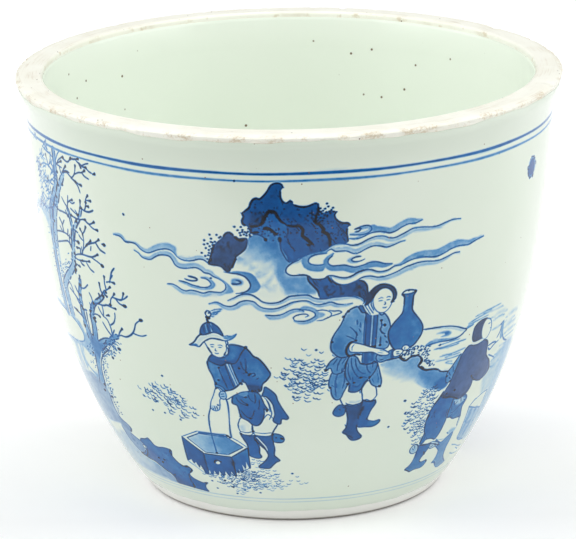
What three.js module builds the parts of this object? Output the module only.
// A blue-and-white porcelain jardiniere, in millimetres, +Z up.
// The origin is the centre of the foot, on the table, and every piece is a turned form about Z.
// The clay body was thrown in two sections, luted together, and turned to a foot and a lip.
// A thin glaze covers it outside, inside and under the base, and leaves the lip and foot bare.
import * as THREE from 'three';

// Driving dimensions of the clay body.
const height = 180;
const rimRadius = 115;
const neckRadius = 110.6;
const footRadius = 62.6;
const wallLean = 10;
const wallRoundness = 2.85;
const wallAtNeck = 7.2;
const wallAtFoot = 10;

// The lip: a thickened collar with a flat top, rounded more on the outside than on the inside.
const lipHeight = 16;
const lipWidth = 11.3;
const lipDrop = 1.4;
const lipOuterRounding = 4.6;
const lipInnerRounding = 1.5;
const lipFlare = 1.3;

// The foot ring, the recess inside it, and the floor that stands on it.
const footHeight = 8;
const footWidth = 11;
const footBevel = 1;
const floorThickness = 9;
const cornerRadius = 16;
const cornerSweep = Math.PI / 3;

// The luted seam at mid height slopes down to the inside and is filled with slip.
const seamHeight = 84;
const seamSlope = 5;
const slipThickness = 0.8;

// The glaze, the hair's breadth that keeps its faces off the clay's, and how far from the table
// and from the lip's top it stops.
const glazeThickness = 0.5;
const glazeGap = 0.02;
const glazeAboveTable = 5.5;
const glazeBelowLipOutside = 3.2;
const glazeBelowLipInside = 2.6;

// Steps round the axis, and along each curve.
const segments = 60;
const lowerSteps = 5;
const upperSteps = 3;
const flareSteps = 3;
const roundSteps = 3;

const neckHeight = height - lipHeight;
const bellyDepth = neckRadius - footRadius - wallLean;
const floorTop = footHeight + floorThickness;
const footInner = footRadius - footWidth;
const lipInner = rimRadius - lipWidth;
const seamInside = seamHeight - seamSlope;

// Radius of the body's outside: a steady lean plus a belly that rounds in towards the foot.
function bodyRadius(z) {
  const t = Math.min(z / neckHeight, 1);
  return footRadius + bellyDepth * (1 - (1 - t) ** wallRoundness) + wallLean * t;
}

// Radius of the body's inside: the wall thins steadily from the foot to the neck.
function cavityRadius(z) {
  const t = Math.min(z / neckHeight, 1);
  return bodyRadius(z) - wallAtFoot - (wallAtNeck - wallAtFoot) * t;
}

// Points [radius, height] on a curve between two heights, both ends included.
function along(radius, from, to, steps) {
  const points = [];
  for (let i = 0; i <= steps; i += 1) {
    const z = from + (to - from) * (i / steps);
    points.push([radius(z), z]);
  }
  return points;
}

// Points on an arc about a centre, between two angles measured from the outward direction.
function arc(centre, radiusAcross, radiusUp, from, to, steps) {
  const points = [];
  for (let i = 0; i <= steps; i += 1) {
    const angle = from + (to - from) * (i / steps);
    points.push([
      centre[0] + radiusAcross * Math.cos(angle),
      centre[1] + radiusUp * Math.sin(angle),
    ]);
  }
  return points;
}

// The same run of points, moved a distance to the right of its direction of travel.
function beside(points, distance) {
  return points.map(([r, z], i) => {
    const before = points[Math.max(i - 1, 0)];
    const after = points[Math.min(i + 1, points.length - 1)];
    const across = after[0] - before[0];
    const up = after[1] - before[1];
    const length = Math.hypot(across, up);
    if (r === 0) {
      return [0, z - distance * Math.sign(across)];
    }
    return [r + (distance * up) / length, z - (distance * across) / length];
  });
}

// The half section of a glaze skin on a run of the clay, with the glaze on the run's right.
// Where the run ends on the axis, so does the section.
function skin(points) {
  const face = beside(points, glazeGap + glazeThickness);
  const back = beside(points, glazeGap).toReversed();
  const endsOnAxis = points.at(-1)[0] === 0;
  return endsOnAxis ? [...back, ...face] : [...face, ...back];
}

// A named turned piece from its half section, with its outside run first and upwards.
function turned(name, section, material) {
  const onAxis = section[0][0] === 0;
  const outline = onAxis ? section : [...section, section[0]];
  const geometry = new THREE.LatheGeometry(outline.map(([r, z]) => new THREE.Vector2(r, z)), segments);
  geometry.rotateX(Math.PI / 2);
  const mesh = new THREE.Mesh(geometry, material);
  mesh.name = name;
  return mesh;
}

const porcelain = new THREE.MeshStandardMaterial({ color: 0xeceadf, roughness: 0.75 });
const bareLip = new THREE.MeshStandardMaterial({ color: 0xf4efe2, roughness: 0.6 });
const bareFoot = new THREE.MeshStandardMaterial({ color: 0xdfded6, roughness: 0.8 });
const slip = new THREE.MeshStandardMaterial({ color: 0xe2ddcf, roughness: 0.85 });
const outerGlaze = new THREE.MeshStandardMaterial({ color: 0xdde5df, roughness: 0.12 });
const innerGlaze = new THREE.MeshStandardMaterial({ color: 0xdcebdc, roughness: 0.15 });

// Runs that two pieces share, all from the bottom up.
const footOutside = [
  [bodyRadius(footBevel), footBevel],
  [bodyRadius(glazeAboveTable), glazeAboveTable],
  [bodyRadius(footHeight), footHeight],
];
const lowerOutside = along(bodyRadius, footHeight, seamHeight, lowerSteps);
const upperOutside = along(bodyRadius, seamHeight + slipThickness, neckHeight, upperSteps);
const cornerTop = floorTop + cornerRadius * (1 - Math.cos(cornerSweep));
const cornerCentre = [
  cavityRadius(cornerTop) - cornerRadius * Math.sin(cornerSweep),
  floorTop + cornerRadius,
];
const floorCorner = arc(
  cornerCentre, cornerRadius, cornerRadius, -Math.PI / 2, -Math.PI / 2 + cornerSweep, roundSteps,
);
const lowerInside = along(cavityRadius, cornerTop, seamInside, lowerSteps);
const upperInside = along(cavityRadius, seamInside + slipThickness, neckHeight, upperSteps);

// The collar flares from the neck to the widest circle, which lies a little below the top.
const widest = height - lipDrop;
function flareRadius(z) {
  const t = (z - neckHeight) / (widest - neckHeight);
  return neckRadius + (rimRadius - neckRadius) * t ** lipFlare;
}
const flareOutside = along(flareRadius, neckHeight, height - glazeBelowLipOutside, flareSteps);
const collarInside = [
  [cavityRadius(neckHeight), neckHeight],
  [lipInner, height - glazeBelowLipInside],
];
const outerEdge = arc(
  [rimRadius - lipOuterRounding, widest], lipOuterRounding, lipDrop, 0, Math.PI / 2, roundSteps,
);
const innerEdge = arc(
  [lipInner + lipInnerRounding, widest], lipInnerRounding, lipDrop, Math.PI / 2, Math.PI, roundSteps,
);

const jardiniere = new THREE.Group();

// The foot ring: turned, bare, with a flat sole and both of its edges bevelled.
jardiniere.add(turned('foot_ring', [
  [footInner + footBevel, 0],
  [footRadius - footBevel, 0],
  ...footOutside,
  [footInner, footHeight],
  [footInner, footBevel],
], bareFoot));

// The floor: the disc that closes the bottom, seated on the foot ring and inside the wall.
jardiniere.add(turned('base_floor', [
  [0, footHeight],
  [cornerCentre[0], footHeight],
  [cornerCentre[0], floorTop],
  [0, floorTop],
], porcelain));

// The lower thrown section, from the foot ring to the seam, rounding into the floor inside.
jardiniere.add(turned('lower_wall', [
  ...lowerOutside,
  ...lowerInside.toReversed(),
  ...floorCorner.slice(0, -1).toReversed(),
  [cornerCentre[0], footHeight],
], porcelain));

// The slip that lutes the two sections together.
jardiniere.add(turned('luting_slip', [
  lowerOutside.at(-1),
  upperOutside[0],
  upperInside[0],
  lowerInside.at(-1),
], slip));

// The upper thrown section, from the seam to the collar.
jardiniere.add(turned('upper_wall', [
  ...upperOutside,
  ...upperInside.toReversed(),
], porcelain));

// The lip: the thickened collar, wiped bare of glaze on its top and edges.
jardiniere.add(turned('rim_lip', [
  ...flareOutside,
  ...outerEdge,
  ...innerEdge,
  ...collarInside.toReversed(),
], bareLip));

// The outside glaze, from just above the table to just under the lip's edge.
const glazedOutside = [
  ...footOutside.slice(1),
  ...lowerOutside.slice(1),
  ...upperOutside,
  ...flareOutside.slice(1),
];
jardiniere.add(turned('outer_glaze', skin(glazedOutside), outerGlaze));

// The inside glaze, from just under the lip down the wall and over the whole floor.
const glazedInside = [
  ...collarInside.toReversed(),
  ...upperInside.slice(0, -1).toReversed(),
  ...lowerInside.toReversed(),
  ...floorCorner.slice(0, -1).toReversed(),
  [0, floorTop],
];
jardiniere.add(turned('inner_glaze', skin(glazedInside), innerGlaze));

// The glaze in the recess under the base.
jardiniere.add(turned('base_glaze', skin([
  [0, footHeight],
  [footInner - glazeGap, footHeight],
]), outerGlaze));

export default jardiniere;
